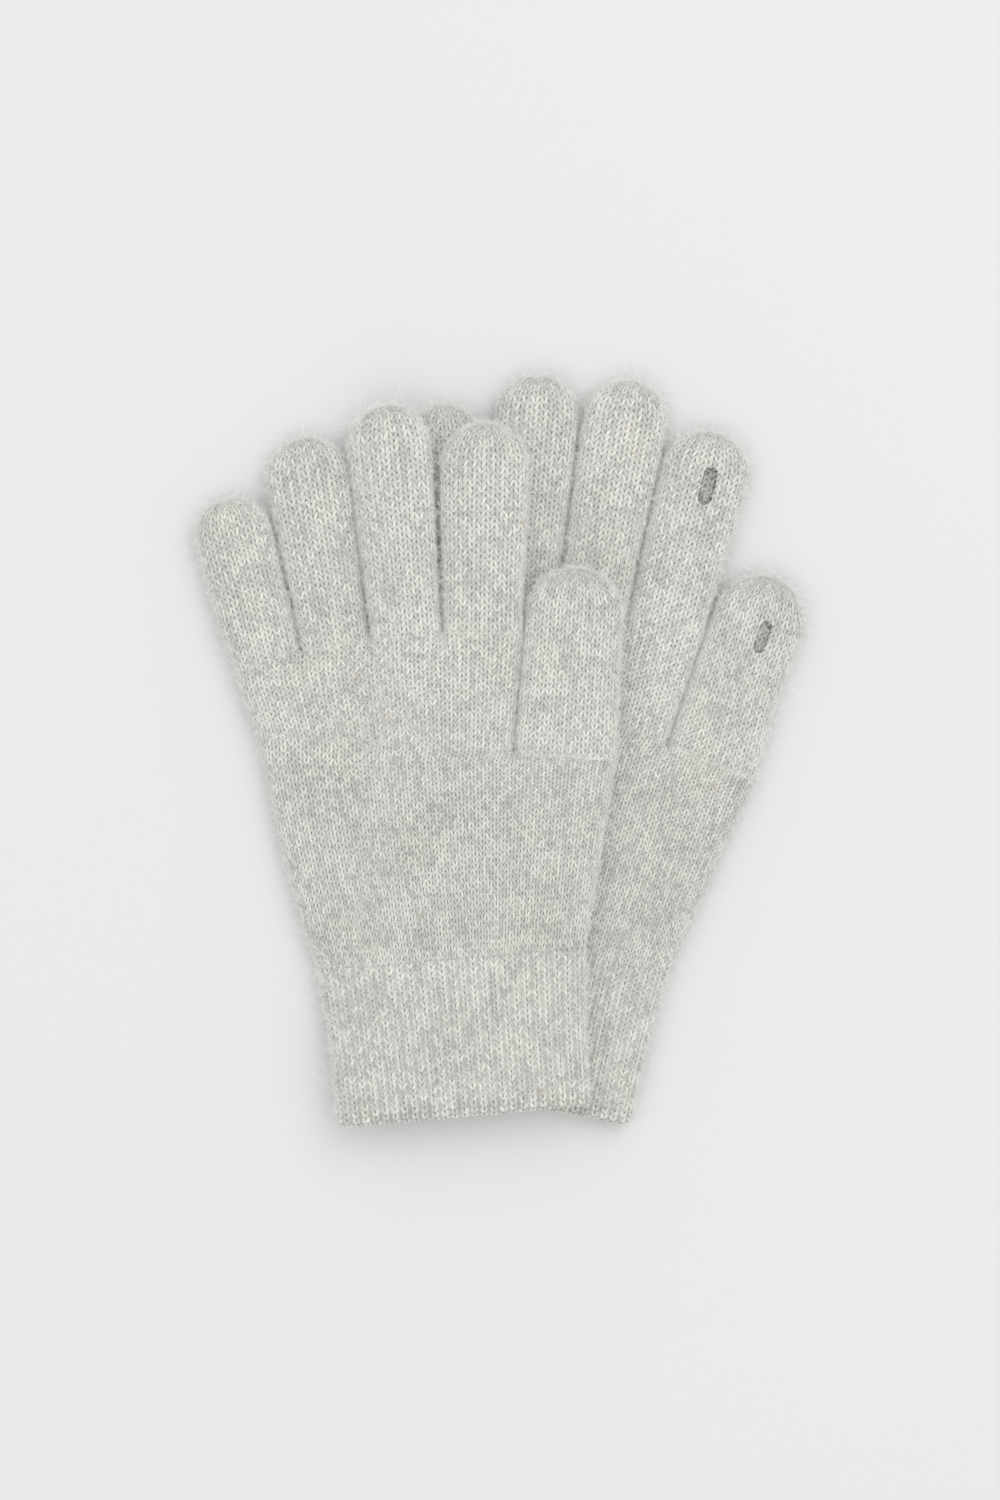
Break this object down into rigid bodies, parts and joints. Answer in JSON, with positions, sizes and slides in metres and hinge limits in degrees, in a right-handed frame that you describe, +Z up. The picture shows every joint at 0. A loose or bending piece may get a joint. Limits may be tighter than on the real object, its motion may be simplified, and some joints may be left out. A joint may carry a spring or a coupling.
{
  "type": "knitted gloves",
  "caption": "Pair of seamless knitted gloves with ribbed cuffs and touchscreen slits, lying one on the other with the fingers up.",
  "frame": {"origin": "centre of the pair's bounding box, on the table", "axes": "+Y towards the fingertips, +Z up from the table, +X towards the thumbs"},
  "size_m": [0.2034, 0.2488, 0.0172],
  "materials": {
    "plain_knit": "brushed plain knit, pale grey melange",
    "rib_knit": "brushed one-by-one rib, pale grey melange",
    "rib_edge": "brushed cast-on edge, pale grey melange",
    "elastic": "bare elastane thread"
  },
  "bodies": {
    "right_hand": {"right_cuff_edge": "rib_edge", "right_cuff_rib": "rib_knit", "right_cuff_elastic": "elastic", "right_lower_palm": "plain_knit", "right_upper_palm": "plain_knit", "right_little_finger": "plain_knit", "right_ring_finger": "plain_knit", "right_middle_finger": "plain_knit"},
    "left_hand": {"left_cuff_edge": "rib_edge", "left_cuff_rib": "rib_knit", "left_cuff_elastic": "elastic", "left_lower_palm": "plain_knit", "left_upper_palm": "plain_knit"},
    "left_little_finger": {"left_little_finger": "plain_knit"},
    "left_ring_finger": {"left_ring_finger": "plain_knit"},
    "left_middle_finger": {"left_middle_finger": "plain_knit"},
    "left_index_finger": {"left_index_finger": "plain_knit"},
    "left_thumb": {"left_thumb": "plain_knit"},
    "right_index_finger": {"right_index_finger": "plain_knit"},
    "right_thumb": {"right_thumb": "plain_knit"}
  },
  "joints": [
    {"name": "left_glove_lift", "type": "slide", "parent": "right_hand", "child": "left_hand", "axis": [0, 0, 1], "range_m": [0, 0.12]},
    {"name": "left_little_finger_fold", "type": "hinge", "parent": "left_hand", "child": "left_little_finger", "pos_m": [-0.0911, 0.0273, 0.0084], "axis": [0.9925, 0.1219, 0], "range_deg": [0, 90]},
    {"name": "left_ring_finger_fold", "type": "hinge", "parent": "left_hand", "child": "left_ring_finger", "pos_m": [-0.0669, 0.0333, 0.01118], "axis": [0.9925, 0.1219, 0], "range_deg": [0, 90]},
    {"name": "left_middle_finger_fold", "type": "hinge", "parent": "left_hand", "child": "left_middle_finger", "pos_m": [-0.0199, 0.0392, 0.0172], "axis": [0.9925, 0.1219, 0], "range_deg": [0, 90]},
    {"name": "left_index_finger_fold", "type": "hinge", "parent": "left_hand", "child": "left_index_finger", "pos_m": [0.0066, 0.0389, 0.0172], "axis": [0.9925, 0.1219, 0], "range_deg": [0, 90]},
    {"name": "left_thumb_fold", "type": "hinge", "parent": "left_hand", "child": "left_thumb", "pos_m": [0.02056, -0.00139, 0.0172], "axis": [0.9976, -0.0698, 0], "range_deg": [0, 90]},
    {"name": "right_index_finger_fold", "type": "hinge", "parent": "right_hand", "child": "right_index_finger", "pos_m": [0.0547, 0.04334, 0.0084], "axis": [0.9475, -0.3198, 0], "range_deg": [0, 90]},
    {"name": "right_thumb_fold", "type": "hinge", "parent": "right_hand", "child": "right_thumb", "pos_m": [0.0692, -0.0038, 0.0084], "axis": [0.9272, -0.3746, 0], "range_deg": [0, 90]}
  ]
}
